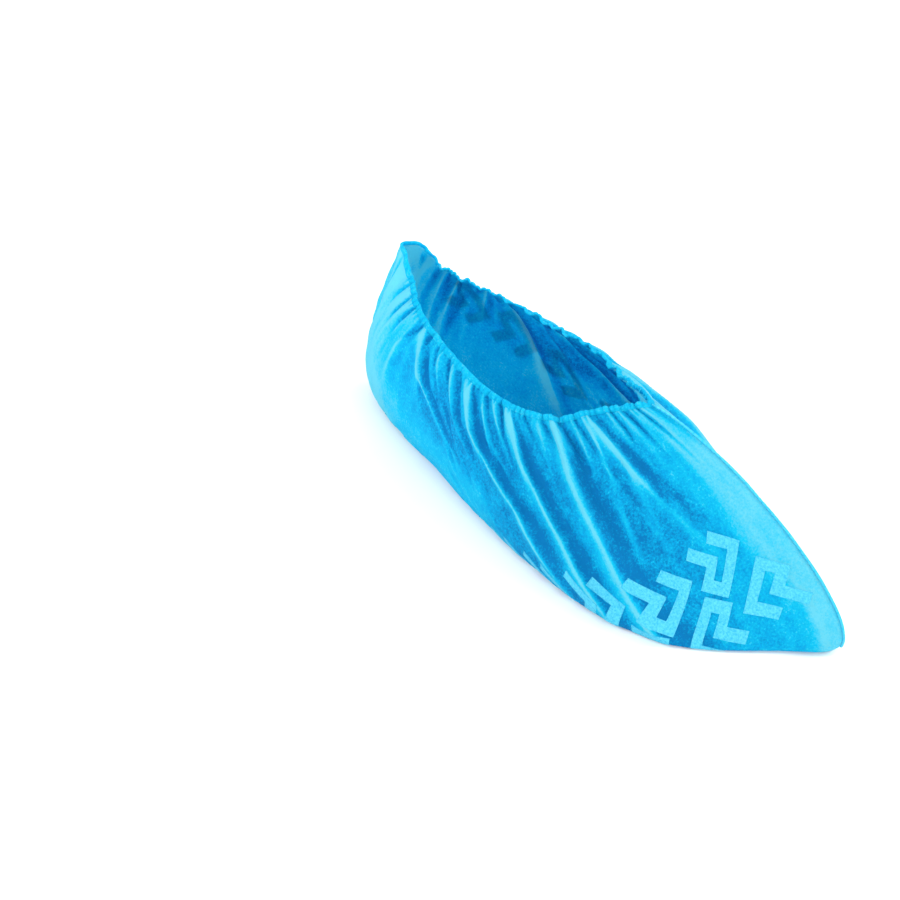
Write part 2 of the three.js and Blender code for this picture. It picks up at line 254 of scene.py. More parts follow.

# %% [markdown]
# ## The cloth
# The cloth is one grid that runs from the near hem, under the sole, to the far hem, with a row for each
# station. The two sides share their points on the heel and toe lines. The UV map holds the place on the flat
# sheet, so that the print and the bonds of the cloth follow it. Thin cloth shows what is behind it. Where it
# lies close on something dark it looks deep blue, and where it stands in the air light comes through and it
# looks pale. That can't be left to the light, as the cover is shown empty, so each point keeps a painted
# tone:
# painted shade where the foot would lie behind it and in the hollows of the folds, and painted light where it
# stands in the air, on the crests of the folds and on slopes that face the key lamp.

# %% Cloth grid
ALONG_STEPS = 320  # from heel to toes
SOLE_STEPS = 8  # from the middle of the sole to where it starts to turn up
CORNER_STEPS = 7
SIDE_STEPS = 62
HALF = SOLE_STEPS + CORNER_STEPS + SIDE_STEPS
SHEET_SPAN = 400.0  # mm of cloth that the whole UV square stands for
MEASURE_LINE = 63.0  # mm from the sole's middle, where the sheet's length is measured
CLOTH_THICK = 0.5  # mm, about twice the real one, so that the two faces of the wall stay apart in the folds
HIGH_FOLD = 3.8  # mm, from which a fold stands clear of what is inside and gets a painted glow on its crest and painted shade in its hollow
# the painted tone of cloth that is neither lit nor shaded
PLAIN_TONE = 0.53
FAR_PULL = 0.65  # share by which the far side is drawn to the middle plane beside the toe ridge
BROAD, FINE = 9, 3  # grid steps over which a crest is compared with its neighbours, for painted highlights on crests and painted shade in valleys


def grid_normals(points):
    """Unit normals of one side's grid of points, facing out of the cover."""
    normals = np.cross(np.gradient(points, axis=1), np.gradient(points, axis=0))
    return normals / (np.linalg.norm(normals, axis=2, keepdims=True) + 1e-12)


def blur(values, reach, axis):
    """The running mean of a grid of values along one axis."""
    padded = np.concatenate([np.repeat(values.take([0], axis), reach, axis), values,
                             np.repeat(values.take([-1], axis), reach, axis)], axis)
    total = np.cumsum(padded, axis=axis)
    ahead = np.take(total, range(2 * reach, total.shape[axis]), axis)
    behind = np.take(total, range(0, total.shape[axis] - 2 * reach), axis)
    return (ahead - behind) / (2 * reach)


def flat_places(plain):
    """Where each point of one side lies on the flat sheet: along it, and out from the middle of the sole."""
    steps = np.linalg.norm(np.diff(plain, axis=1), axis=2)
    out = np.concatenate([np.zeros((len(plain), 1)), np.cumsum(steps, axis=1)], axis=1)
    line = np.array([
        [np.interp(MEASURE_LINE, out[i], plain[i, :, k]) for k in range(3)] for i in range(len(plain))
    ])
    along = np.concatenate([[0], np.cumsum(np.linalg.norm(np.diff(line, axis=0), axis=1))])
    return np.repeat((along - along[-1] / 2)[:, None], out.shape[1], axis=1), out


def crest_glow_and_hollow_shade(at, down, side):
    """1 on the high folds, a painted glow where light comes through, and below 0 for painted shade in the
    hollow on their toe side.
    """
    bands = np.zeros(np.broadcast(at, down).shape)
    hollows = bands
    for fold in NEAR_FOLDS if side == NEAR else FAR_FOLDS:
        if fold["height"] >= HIGH_FOLD:
            across = (at - np.interp(down, LEVELS, fold["path"])) / (1.7 * fold["wide"])
            runs = smooth((fold["reach"] + 0.1 - down) / 0.2) * smooth((down + 0.1) / 0.2)
            band = np.where(across < 0, np.exp(-(across**2)), smooth(1 - across / 0.45))
            bands = np.maximum(bands, band * runs)
            hollows = np.maximum(hollows, np.exp(-(((across - 1.2) / 0.6) ** 2)) * runs)
    return bands - 0.5 * hollows * (1 - bands)


def painted_tone_of(at, down, height, side):
    """Painted light and shade at each point: 0 for deep blue, 0.5 for the plain colour, 1 for pale."""
    at, down = at[:, None], down[None, :]
    # Painted highlight on the crests and painted shade in the valleys, from each point's height against its
    # neighbours.
    broad = np.clip((height - blur(blur(height, BROAD, 0), 3, 1)) / 1.8, -1, 1)
    fine = np.clip((height - blur(height, FINE, 0)) / 0.45, -1, 1)
    # Painted light on slopes that face the heel, where the key lamp stands.
    rising = np.clip(np.gradient(height, axis=0) / 0.5, -1, 1)
    # Painted light low on the heel half, which also lessens the foot's painted shade there.
    arch = smooth((down - 0.4) / 0.2) * (1 - smooth((at - 0.46) / 0.14))
    # Painted shade where the foot would lie close behind the cloth.
    foot_shade = smooth((at - 0.27) / 0.1) * (1 - smooth((at - 0.86) / 0.06)) * smooth((down - 0.08) / 0.24)
    # Painted glow at the toe and the heel, where the cloth stands in the air and light comes through.
    if side == NEAR:
        toe_glow = smooth((at - 0.915 - 0.04 * down) / 0.03) * (0.4 + 0.6 * smooth((down - 0.04) / 0.16))
        heel_glow = 1 - smooth((at - 0.08) / 0.2)
    else:
        toe_glow = 1.2 * smooth((at - 0.6 - 0.2 * down) / 0.1)
        heel_glow = 1 - smooth(at / 0.14)
    painted_tone = PLAIN_TONE + 0.2 * broad + 0.14 * fine + 0.16 * rising + 0.26 * crest_glow_and_hollow_shade(at, down, side)
    painted_tone += 0.33 * (toe_glow + 1.2 * heel_glow) + 0.13 * arch - 0.22 * foot_shade * (1 - arch)
    return np.clip(painted_tone, 0, 1)


def side_of_cover(side):
    """One side with its folds: points, places on the flat sheet and painted tones of light and shade, from
    the sole to the hem.
    """
    at = np.linspace(0, 1, ALONG_STEPS + 1)
    plain = plain_form(at, SOLE_STEPS, CORNER_STEPS, SIDE_STEPS)
    down = 1 - np.arange(CORNER_STEPS + SIDE_STEPS + 1) / (CORNER_STEPS + SIDE_STEPS)
    if side == FAR:
        drawn_in = smooth((at[:, None] - 0.70) / 0.14) * smooth((1.02 - down) / 0.45) * smooth(down / 0.15)
        plain[:, SOLE_STEPS:, 1] *= 1 - FAR_PULL * drawn_in
    normals = grid_normals(plain)
    normals[0], normals[-1] = [-1, 0, 0], [1, 0, 0]
    height = np.zeros(plain.shape[:2])
    height[:, SOLE_STEPS:] = stand_out(at, down, side)
    points = plain + normals * height[:, :, None]
    points[:, :, 2] = np.maximum(points[:, :, 2], 0)
    along, out = flat_places(plain)
    down_all = np.concatenate([np.ones(SOLE_STEPS), down])
    flat = np.stack([along, side * out], axis=2)
    return points * [1, side, 1] + ORIGIN, flat, painted_tone_of(at, down_all, height, side)


near_points, near_flat, near_painted_tone = side_of_cover(NEAR)
far_points, far_flat, far_painted_tone = side_of_cover(FAR)
cloth_points = np.concatenate([near_points[:, ::-1], far_points[:, 1:]], axis=1) * MM
cloth_flat = np.concatenate([near_flat[:, ::-1], far_flat[:, 1:]], axis=1)
cloth_painted_tone = np.concatenate([near_painted_tone[:, ::-1], far_painted_tone[:, 1:]], axis=1)
flat_size = np.ptp(cloth_flat.reshape(-1, 2), axis=0)
print("cloth grid:", cloth_points.shape[:2], "points, flat sheet, mm:", flat_size.round())


# %% Turn a grid into a mesh
def mesh_object(name, points, faces, uvs=None, painted_tones=None):
    """A mesh object of points in metres and faces, with a UV for each corner and a painted tone of light and
    shade for each point.
    """
    mesh = bpy.data.meshes.new(name)
    mesh.from_pydata(np.asarray(points).tolist(), [], [list(map(int, f)) for f in faces])
    if uvs is not None:
        layer = mesh.uv_layers.new(name="flat_sheet")
        layer.data.foreach_set("uv", np.asarray(uvs, np.float32).ravel())
    painted_tone = mesh.attributes.new("painted_tone", "FLOAT", "POINT")
    painted_tone.data.foreach_set("value", np.full(len(mesh.vertices), 0.6) if painted_tones is None else painted_tones)
    mesh.polygons.foreach_set("use_smooth", [True] * len(mesh.polygons))
    mesh.update()
    made = bpy.data.objects.new(name, mesh)
    bpy.context.collection.objects.link(made)
    return made


def cloth_mesh(name):
    """The cloth's grid with both sides joined on the heel and toe lines."""
    rows, columns = cloth_points.shape[:2]
    index = np.arange(rows * columns).reshape(rows, columns)
    for seam in (0, rows - 1):
        index[seam, HALF + 1:] = index[seam, :HALF][::-1]
        index[seam, HALF - SOLE_STEPS:HALF + SOLE_STEPS + 1] = index[seam, HALF]
    used, packed = np.unique(index, return_inverse=True)
    packed = packed.reshape(index.shape)
    uv = cloth_flat / SHEET_SPAN + 0.5
    faces, corners = [], []
    for i in range(rows - 1):
        for j in range(columns - 1):
            face, places = [], []
            for place in ((i, j), (i, j + 1), (i + 1, j + 1), (i + 1, j)):
                if packed[place] not in face:
                    face.append(packed[place])
                    places.append(uv[place])
            if len(face) > 2:
                faces.append(face)
                corners.extend(places)
    painted_tones = cloth_painted_tone.ravel()[used]
    return mesh_object(name, cloth_points.reshape(-1, 3)[used], faces, corners, painted_tones)


def settle(piece):
    """Turns a piece with its modifiers into a plain mesh."""
    seen = piece.evaluated_get(bpy.context.evaluated_depsgraph_get())
    plain = bpy.data.meshes.new_from_object(seen)
    piece.modifiers.clear()
    piece.data = plain
    return piece


skin = cloth_mesh("skin")
cover = skin.copy()
cover.data = skin.data.copy()
cover.name = "cover_cloth"
bpy.context.collection.objects.link(cover)
wall = cover.modifiers.new("wall", "SOLIDIFY")
wall.thickness = CLOTH_THICK * MM
wall.offset = -1
settle(cover)
print("cover_cloth:", len(cover.data.polygons), "faces")

# %% [markdown]
# ## The rolled hem
# The edge of the sheet is turned over a thin elastic and sewn or welded down. Stretched flat it would be much
# longer than the mouth, so it closes up in fine ribs across the band. A curve with a bevel would only give
# a smooth tube. So the band is a ring of flat sections whose thickness swells at each rib, at the places
# where the cloth below it puckers. It holds the lip of the cloth inside it.

# %% Hem sections
HEM_WIDE = 3.8  # mm
HEM_THICK = 1.7  # mm
HEM_FOOT = 0.4  # share of the thickness that is left where the roll meets the cloth
HEM_DIP = 1.0  # mm that the roll reaches down over the lip
HEM_SIDES = 16
HEM_FLATTER = 0.75  # below 1 the section is squarer than an ellipse
RIB_DEPTH = 0.3  # share of the thickness that is lost between two ribs


def hem_piece():
    """A flat ring along the lip of the cloth, with a rib at each small pucker."""
    lip = np.concatenate([near_points[:, -1], far_points[1:-1, -1][::-1]])
    below = np.concatenate([near_points[:, -5], far_points[1:-1, -5][::-1]])
    fine = np.linspace(0, len(lip), 2 * len(lip), endpoint=False)
    whole = fine.astype(int)
    part = (fine - whole)[:, None]
    lip = lip[whole] * (1 - part) + lip[(whole + 1) % len(lip)] * part
    below = below[whole] * (1 - part) + below[(whole + 1) % len(below)] * part
    ahead = np.roll(lip, -2, axis=0) - np.roll(lip, 2, axis=0)
    ahead /= np.linalg.norm(ahead, axis=1, keepdims=True)
    up = lip - below
    up = sum(np.roll(up, k, axis=0) for k in range(-8, 9))
    up -= (up * ahead).sum(1, keepdims=True) * ahead
    up /= np.linalg.norm(up, axis=1, keepdims=True)
    out = np.cross(up, ahead)
    turn = np.linspace(0, 2 * np.pi, HEM_SIDES, endpoint=False)
    along = np.arange(len(lip)) / len(lip) * 2
    level = along * 0 + 0.5
    swell = 1 - RIB_DEPTH * (1 - rib_swell(along))
    swell *= 1 + 0.14 * soft_noise(along * 40, level, SEED + 21)
    high = HEM_WIDE / 2 * (1 + 0.10 * soft_noise(along * 50, level, SEED + 22)) * (0.95 + 0.05 * swell)
    centre = lip + up * (high[:, None] - HEM_DIP)
    height = np.sign(np.cos(turn)) * np.abs(np.cos(turn)) ** HEM_FLATTER
    width = np.sign(np.sin(turn)) * np.abs(np.sin(turn)) ** HEM_FLATTER
    width = width * (HEM_FOOT + (1 - HEM_FOOT) * smooth((height + 1) / 1.4))
    rise = up[:, None] * (high[:, None] * height)[:, :, None]
    reach = out[:, None] * ((HEM_THICK / 2 * swell)[:, None] * width)[:, :, None]
    points = centre[:, None] + rise + reach
    rows = len(points)
    faces = [
        (i * HEM_SIDES + k, i * HEM_SIDES + (k + 1) % HEM_SIDES,
         (i + 1) % rows * HEM_SIDES + (k + 1) % HEM_SIDES, (i + 1) % rows * HEM_SIDES + k)
        for i in range(rows) for k in range(HEM_SIDES)
    ]
    # Painted highlight on the swollen ribs and painted shade in the creases between them.
    painted_tones = np.repeat(0.62 + 0.3 * (swell - 0.85), HEM_SIDES)
    return mesh_object("rolled_hem", points.reshape(-1, 3) * MM, faces, painted_tones=painted_tones)


hem = hem_piece()
print("rolled_hem:", len(hem.data.polygons), "faces")

# %% [markdown]
# ## The welded seams
# At the heel and over the toes the two sides are pressed together and welded, and a narrow double edge stands
# out. It could be part of the cloth grid, but the weld makes it a stiffer strip with edges of its own. So it
# is a ribbon along the line, a little wavy, because the weld draws it up. At the heel it ends in a tab.

# %% Seam ribbons
SEAM_THICK = 0.9  # mm
HEEL_FIN = 6.5  # mm that the heel's edge stands out where it is widest
TOE_FIN = 1.3
FIN_END = 0.8  # mm at both ends of an edge
FIN_LEAN = 0.7  # below 1 the widest place is nearer the start of the line
FIN_LAYERS = (  # how far out each layer of the section lies, and its half width, as shares
    (-0.3, 0.42),
    (0.15, 0.42),
    (0.6, 0.40),
    (0.95, 0.36),
    (1.0, 0.2),
)


def seam_piece(name, line, height, seed, facing):
    """A thin ribbon that stands out from a line of the cloth in the middle plane, on its facing side."""
    line = line[SOLE_STEPS + CORNER_STEPS:]
    fine = np.linspace(0, len(line) - 1, 4 * len(line))
    line = np.stack([np.interp(fine, np.arange(len(line)), line[:, k]) for k in range(3)], axis=1)
    ahead = np.gradient(line, axis=0)
    ahead /= np.linalg.norm(ahead, axis=1, keepdims=True)
    out = np.cross([0, 1, 0], ahead) * facing
    share = np.linspace(0, 1, len(line))
    wave = soft_noise(share * 14, share * 0 + 0.5, seed)
    stands = FIN_END + (height - FIN_END) * np.sin(np.pi * share**FIN_LEAN) * (1 + 0.12 * wave)
    sway = np.array([0, 1, 0]) * (0.5 * soft_noise(share * 18, share * 0 + 3.5, seed + 1))[:, None]
    layers = []
    for reach, half in FIN_LAYERS:
        place = line + out * (0.25 + reach * stands[:, None]) + sway * max(reach, 0)
        layers.append((place, half * SEAM_THICK))
    ring = [p + [0, h, 0] for p, h in layers] + [p - [0, h, 0] for p, h in layers[::-1]]
    points = np.stack(ring, axis=1)
    rows, sides = points.shape[:2]
    faces = [
        (i * sides + k, i * sides + (k + 1) % sides, (i + 1) * sides + (k + 1) % sides, (i + 1) * sides + k)
        for i in range(rows - 1) for k in range(sides)
    ]
    faces += [tuple(range(sides))[::-1], tuple((rows - 1) * sides + k for k in range(sides))]
    return mesh_object(name, points.reshape(-1, 3) * MM, faces, painted_tones=np.full(rows * sides, 0.8))


toe_weld = seam_piece("toe_weld", near_points[-1], TOE_FIN, SEED + 30, facing=1)
heel_weld = seam_piece("heel_weld", near_points[0], HEEL_FIN, SEED + 40, facing=-1)
print("toe_weld, heel_weld:", len(toe_weld.data.polygons), len(heel_weld.data.polygons), "faces")

# %% [markdown]
# ## The printed grip
# The sheet is printed flat before it is cut, in two columns each side of a bare middle. A mark is a hairpin
# of one stroke: two nested corners, joined at one end. Every second column is turned half round. An image
# on the cloth would stretch in the folds and have no thickness. The print is made flat in the plane of the
# sheet, then Geometry Nodes looks up each of its points on the cloth's UV map and lays it on the folds.

# %% One mark, as cells of a square grid turned by 45 degrees
STROKE_CELLS = 5
CELL = 1.28  # mm
NEST_CELLS = 9  # from one corner to the next
ARM_CELLS = 16
LONG_CELLS = 23
PRINT_PROUD = 0.22  # mm over the cloth
PRINT_SUNK = 0.15  # mm into it, so that no gap shows


def mark_cells():
    """The cells of one mark, as (right, down) places from the outer corner."""

    def block(x0, x1, y0, y1):
        return {(x, y) for x in range(x0, x1) for y in range(y0, y1)}

    outer = block(-ARM_CELLS, 0, 0, STROKE_CELLS) | block(-STROKE_CELLS, 0, 0, LONG_CELLS)
    inner = {(x - NEST_CELLS, y + NEST_CELLS) for x, y in outer if y < LONG_CELLS - NEST_CELLS}
    join = block(-NEST_CELLS - STROKE_CELLS, 0, LONG_CELLS - STROKE_CELLS, LONG_CELLS)
    return outer | inner | join


def mark_object(name):
    """A flat closed slab of the mark's cells, 0 to 1 high. Its real thickness comes when it is laid on."""
    cells = mark_cells()
    index, points, faces = {}, [], []

    def corner(x, y, z):
        if (x, y, z) not in index:
            index[x, y, z] = len(points)
            points.append(((x - y) * CELL / math.sqrt(2), (x + y) * CELL / math.sqrt(2), z))
        return index[x, y, z]

    for x, y in sorted(cells):
        around = [(x, y), (x + 1, y), (x + 1, y + 1), (x, y + 1)]
        faces.append([corner(a, b, 1) for a, b in around])
        faces.append([corner(a, b, 0) for a, b in reversed(around)])
        beside = [(x, y - 1), (x + 1, y), (x, y + 1), (x - 1, y)]
        for k, neighbour in enumerate(beside):
            if neighbour not in cells:
                a, b = around[k], around[(k + 1) % 4]
                faces.append([corner(*b, 1), corner(*a, 1), corner(*a, 0), corner(*b, 0)])
    mesh = bpy.data.meshes.new(name)
    mesh.from_pydata(points, [], faces)
    made = bpy.data.objects.new(name, mesh)
    bpy.context.collection.objects.link(made)
    return made


mark = mark_object("mark")
print("one mark:", len(mark.data.polygons), "faces")

# %% Where the marks go on the flat sheet
MARK_PITCH = 36.0  # mm from one mark of a column to the next
COLUMN_INNER = 40.0  # mm from the middle of the print to the corners of the inner column
COLUMN_OUTER = 72.0
# The cover was pulled on askew, so the print drifts across by these mm at these places along the sheet.
ASKEW_AT = (-150, -60, 20, 90, 162)
ASKEW_BY = (54, 43, 6, -11, -15)
PRINT_LIMIT = 92  # mm from the sole's middle, above which no mark was printed
PRINT_END = 170  # mm from the sheet's middle, where the print stops short of the toe seam
OUTER_PHASE = 163.5  # mm from the sheet's middle to the front mark of each column
INNER_PHASE = 147.5
MARKS_IN_COLUMN = 14  # more than fit, and those past the ends are dropped
SHEET_HALF = 230  # mm, a little past the sheet's end


def mark_places():
    """Each mark's place on the flat sheet in mm, and the angle it is turned by."""
    rows = []
    for column, phase, turned in (
        (-COLUMN_OUTER, OUTER_PHASE, 0),
        (-COLUMN_INNER, INNER_PHASE, 1),
        (COLUMN_INNER, -INNER_PHASE, 0),
        (COLUMN_OUTER, -OUTER_PHASE, 1),
    ):
        first = math.ceil((-SHEET_HALF - phase) / MARK_PITCH)
        for k in range(first, first + MARKS_IN_COLUMN):
            u = phase + k * MARK_PITCH
            v = column + np.interp(u, ASKEW_AT, ASKEW_BY)
            drift = np.interp(u + 10, ASKEW_AT, ASKEW_BY) - np.interp(u - 10, ASKEW_AT, ASKEW_BY)
            if abs(v) < PRINT_LIMIT and u < PRINT_END:
                rows.append((u, float(v), math.pi * turned + math.atan2(drift, 20)))
    return rows


def places_object(name, rows):
    """Loose points on the flat sheet's plan, each with the angle that its mark is turned by."""
    mesh = bpy.data.meshes.new(name)
    mesh.from_pydata([(u, v, 0) for u, v, _ in rows], [], [])
    turned = mesh.attributes.new("turned", "FLOAT", "POINT")
    turned.data.foreach_set("value", [t for _, _, t in rows])
    made = bpy.data.objects.new(name, mesh)
    bpy.context.collection.objects.link(made)
    return made


grip = places_object("grip_print", mark_places())
print("marks:", len(grip.data.vertices))


# %% A tree that lays the print on the cloth
def node(tree, kind, links=(), **settings):
    """Adds a node. settings name its own properties or its input sockets, and links feed sockets by name."""
    made = tree.nodes.new(kind)
    for key, value in settings.items():
        if hasattr(made, key):
            setattr(made, key, value)
        else:
            made.inputs[key.replace("_", " ")].default_value = value
    for socket, source in dict(links).items():
        tree.links.new(source, made.inputs[socket])
    return made


def laying_tree():
    """Geometry Nodes: put the marks on the flat sheet's plan, then lift every point onto the worn cloth."""
    tree = bpy.data.node_groups.new("lay the print", "GeometryNodeTree")
    sockets = tree.interface
    sockets.new_socket("Geometry", in_out="INPUT", socket_type="NodeSocketGeometry")
    sockets.new_socket("Mark", in_out="INPUT", socket_type="NodeSocketObject")
    sockets.new_socket("Cloth", in_out="INPUT", socket_type="NodeSocketObject")
    sockets.new_socket("Proud", in_out="INPUT", socket_type="NodeSocketFloat")
    sockets.new_socket("Sunk", in_out="INPUT", socket_type="NodeSocketFloat")
    sockets.new_socket("Coating", in_out="INPUT", socket_type="NodeSocketMaterial")
    sockets.new_socket("Geometry", in_out="OUTPUT", socket_type="NodeSocketGeometry")
    given = node(tree, "NodeGroupInput").outputs
    mark_info = node(tree, "GeometryNodeObjectInfo", {"Object": given["Mark"]})
    cloth_info = node(tree, "GeometryNodeObjectInfo", {"Object": given["Cloth"]})
    turned = node(tree, "GeometryNodeInputNamedAttribute", data_type="FLOAT", Name="turned")
    spin = node(tree, "ShaderNodeCombineXYZ", {"Z": turned.outputs[0]})
    marks = node(tree, "GeometryNodeInstanceOnPoints", {
        "Points": given["Geometry"], "Instance": mark_info.outputs["Geometry"], "Rotation": spin.outputs[0]})
    real = node(tree, "GeometryNodeRealizeInstances", {"Geometry": marks.outputs[0]})
    plan = node(tree, "ShaderNodeSeparateXYZ", {"Vector": node(tree, "GeometryNodeInputPosition").outputs[0]})
    across = node(tree, "ShaderNodeVectorMath", {0: node(tree, "GeometryNodeInputPosition").outputs[0]},
                  operation="MULTIPLY_ADD")
    across.inputs[1].default_value = (1 / SHEET_SPAN, 1 / SHEET_SPAN, 0)
    across.inputs[2].default_value = (0.5, 0.5, 0)
    sheet_map = node(tree, "GeometryNodeInputNamedAttribute", data_type="FLOAT_VECTOR", Name="flat_sheet")
    place = node(tree, "GeometryNodeSampleUVSurface", data_type="FLOAT_VECTOR")
    lift = node(tree, "GeometryNodeSampleUVSurface", data_type="FLOAT_VECTOR")
    for sample, value in ((place, "GeometryNodeInputPosition"), (lift, "GeometryNodeInputNormal")):
        tree.links.new(cloth_info.outputs["Geometry"], sample.inputs["Mesh"])
        tree.links.new(node(tree, value).outputs[0], sample.inputs["Value"])
        tree.links.new(sheet_map.outputs[0], sample.inputs["UV Map"])
        tree.links.new(across.outputs[0], sample.inputs["Sample UV"])
    height = node(tree, "ShaderNodeMapRange", {
        "Value": plan.outputs["Z"], "To Min": given["Sunk"], "To Max": given["Proud"]})
    away = node(tree, "ShaderNodeVectorMath", {0: lift.outputs[0]}, operation="SCALE")
    tree.links.new(height.outputs[0], away.inputs["Scale"])
    final = node(tree, "ShaderNodeVectorMath", {0: place.outputs[0], 1: away.outputs[0]}, operation="ADD")
    off = node(tree, "FunctionNodeBooleanMath", {0: place.outputs["Is Valid"]}, operation="NOT")
    trimmed = node(tree, "GeometryNodeDeleteGeometry", {
        "Geometry": real.outputs[0], "Selection": off.outputs[0]})
    laid = node(tree, "GeometryNodeSetPosition", {
        "Geometry": trimmed.outputs[0], "Position": final.outputs[0]})
    flat_shade = node(tree, "GeometryNodeSetShadeSmooth", {"Geometry": laid.outputs[0]}, Shade_Smooth=False)
    coated = node(tree, "GeometryNodeSetMaterial", {
        "Geometry": flat_shade.outputs[0], "Material": given["Coating"]})
    node(tree, "NodeGroupOutput", {"Geometry": coated.outputs[0]})
    return tree


def nodes_modifier(piece, tree, **values):
    """Adds a Geometry Nodes modifier and sets its inputs by the names that the tree gives them."""
    modifier = piece.modifiers.new(tree.name, "NODES")
    modifier.node_group = tree
    names = {item.name: item.identifier for item in tree.interface.items_tree if item.in_out == "INPUT"}
    for name, value in values.items():
        modifier[names[name]] = value
    return modifier


lay_print = laying_tree()
print("tree", lay_print.name, "has", len(lay_print.nodes), "nodes")

# %% [markdown]
# ## Materials
# Spunbond polypropylene is a felt of hot plastic threads, laid at random and pressed together at rows of
# small bond points. It is matt, thin and see-through. An image could show it, but noise in real millimetres
# never repeats. A translucent shader mixed in lets light from the far side glow through, as thin cloth does.


# %% Colours
def colour(hex_code):
    """An sRGB hex colour as the linear values that Blender works with."""
    parts = [int(hex_code[k:k + 2], 16) / 255 for k in (1, 3, 5)]
    return (*[p / 12.92 if p <= 0.04045 else ((p + 0.055) / 1.055) ** 2.4 for p in parts], 1)


def real_millimetres(tree):
    """The place on the piece in mm, so that a pattern's scale is its number of features to a millimetre."""
    place = node(tree, "ShaderNodeTexCoord").outputs["Object"]
    return node(tree, "ShaderNodeVectorMath", {0: place}, operation="SCALE", Scale=1000).outputs[0]


def mix_glow(tree, shade, tint, share):
    """Mixes a share of light from behind into a shader, and makes that the material's surface."""
    glow = node(tree, "ShaderNodeBsdfTranslucent", {"Color": tint})
    both = node(tree, "ShaderNodeMixShader")
    both.inputs[0].default_value = share
    tree.links.new(shade.outputs[0], both.inputs[1])
    tree.links.new(glow.outputs[0], both.inputs[2])
    tree.links.new(both.outputs[0], tree.nodes["Material Output"].inputs["Surface"])


print("the plain blue in linear values:", [round(v, 3) for v in colour("#00B5E6")])

# %% Spunbond cloth
# What the eye gets: a matt blue that is mottled like felt where the cloth lies close, even and pale where it
# stands in the air, with a faint quilt of bond points. The blue runs from deep to pale with each point's
# painted tone of light and shade.
CLOUDS_TO_A_MM = 0.11  # so one thick or thin place in the felt is about 9 mm wide
TUFTS_TO_A_MM = 0.75  # drawn about five times as coarse as real tufts so that they show
BOND_PITCH = 2.6  # mm between bond points, drawn about twice as coarse as real ones so that it shows
LIGHT_THROUGH = 0.45  # share of the light that comes through the cloth


def spunbond(name, deep, plain, bright, pale):
    """Felt cloth whose colour runs from deep to pale with each point's painted tone of light and shade."""
    material = bpy.data.materials.new(name)
    material.use_nodes = True
    tree = material.node_tree
    shade = tree.nodes["Principled BSDF"]
    place = real_millimetres(tree)
    clouds = node(tree, "ShaderNodeTexNoise", {"Vector": place},
                  Scale=CLOUDS_TO_A_MM, Detail=3.0, Roughness=0.6)
    grain = node(tree, "ShaderNodeTexNoise", {"Vector": place},
                 Scale=TUFTS_TO_A_MM, Detail=3.0, Roughness=0.75)
    painted_tone = node(tree, "ShaderNodeAttribute", attribute_name="painted_tone").outputs["Fac"]
    patchy = node(tree, "ShaderNodeMath", {0: clouds.outputs["Fac"], 2: grain.outputs["Fac"]},
                  operation="MULTIPLY_ADD")
    patchy.inputs[1].default_value = 0.45
    centred = node(tree, "ShaderNodeMath", {0: patchy.outputs[0]}, operation="SUBTRACT")
    centred.inputs[1].default_value = 0.725
    strength = node(tree, "ShaderNodeMapRange", {"Value": painted_tone})
    for socket, value in (("From Min", 0.25), ("From Max", 0.75), ("To Min", 1.9), ("To Max", 0.4)):
        strength.inputs[socket].default_value = value
    mottled = node(tree, "ShaderNodeMath", {0: centred.outputs[0], 1: strength.outputs[0], 2: painted_tone},
                   operation="MULTIPLY_ADD")
    # The ramp turns the painted tone into colour: deep blue for painted shade, pale for painted light that
    # comes through.
    ramp = node(tree, "ShaderNodeValToRGB", {"Fac": mottled.outputs[0]})
    stops = ramp.color_ramp.elements
    stops[0].position, stops[0].color = 0.08, colour(deep)
    stops[1].position, stops[1].color = 0.92, colour(pale)
    stops.new(0.46).color = colour(plain)
    stops.new(0.7).color = colour(bright)
    sheet_map = node(tree, "ShaderNodeUVMap", uv_map="flat_sheet")
    lattice = node(tree, "ShaderNodeMapping", {"Vector": sheet_map.outputs["UV"]})
    lattice.inputs["Rotation"].default_value = (0, 0, math.radians(45))
    lattice.inputs["Scale"].default_value = (SHEET_SPAN / BOND_PITCH, SHEET_SPAN / BOND_PITCH, 1)
    bonds = node(tree, "ShaderNodeTexVoronoi", {"Vector": lattice.outputs[0]}, Scale=1.0, Randomness=0.0)
    pressed = node(tree, "ShaderNodeMapRange", {"Value": bonds.outputs["Distance"]},
                   interpolation_type="SMOOTHSTEP")
    for socket, value in (("From Min", 0.18), ("From Max", 0.36), ("To Min", 0.0), ("To Max", 1.0)):
        pressed.inputs[socket].default_value = value
    fluff = node(tree, "ShaderNodeBump", {"Height": grain.outputs["Fac"]}, Strength=0.5, Distance=0.0005)
    bump = node(tree, "ShaderNodeBump", {"Height": pressed.outputs[0], "Normal": fluff.outputs["Normal"]},
                Strength=0.6, Distance=0.0002)
    tree.links.new(ramp.outputs[0], shade.inputs["Base Color"])
    tree.links.new(bump.outputs["Normal"], shade.inputs["Normal"])
    shade.inputs["Roughness"].default_value = 0.7
    shade.inputs["Specular IOR Level"].default_value = 0.1
    shade.inputs["Sheen Weight"].default_value = 0.04
    shade.inputs["Sheen Tint"].default_value = colour("#9CE8FF")
    mix_glow(tree, shade, ramp.outputs[0], LIGHT_THROUGH)
    return material


# deep is the colour of painted shade and pale of painted light through the cloth; plain and bright lie
# between.
cloth = spunbond("spunbond polypropylene", "#0086C6", "#00B5E6", "#0ED0EF", "#72DDEE")
for piece in (cover, hem, toe_weld, heel_weld):
    piece.data.materials.clear()
    piece.data.materials.append(cloth)
print("material:", cloth.name)

# %% Grip coating
# What the eye gets: a soft rubbery print, paler than the cloth and a little glossier, grainy because the felt
# shows through it.
GRAINS_TO_A_MM = 0.8
COATING_THROUGH = 0.2  # share of the light that comes through the print


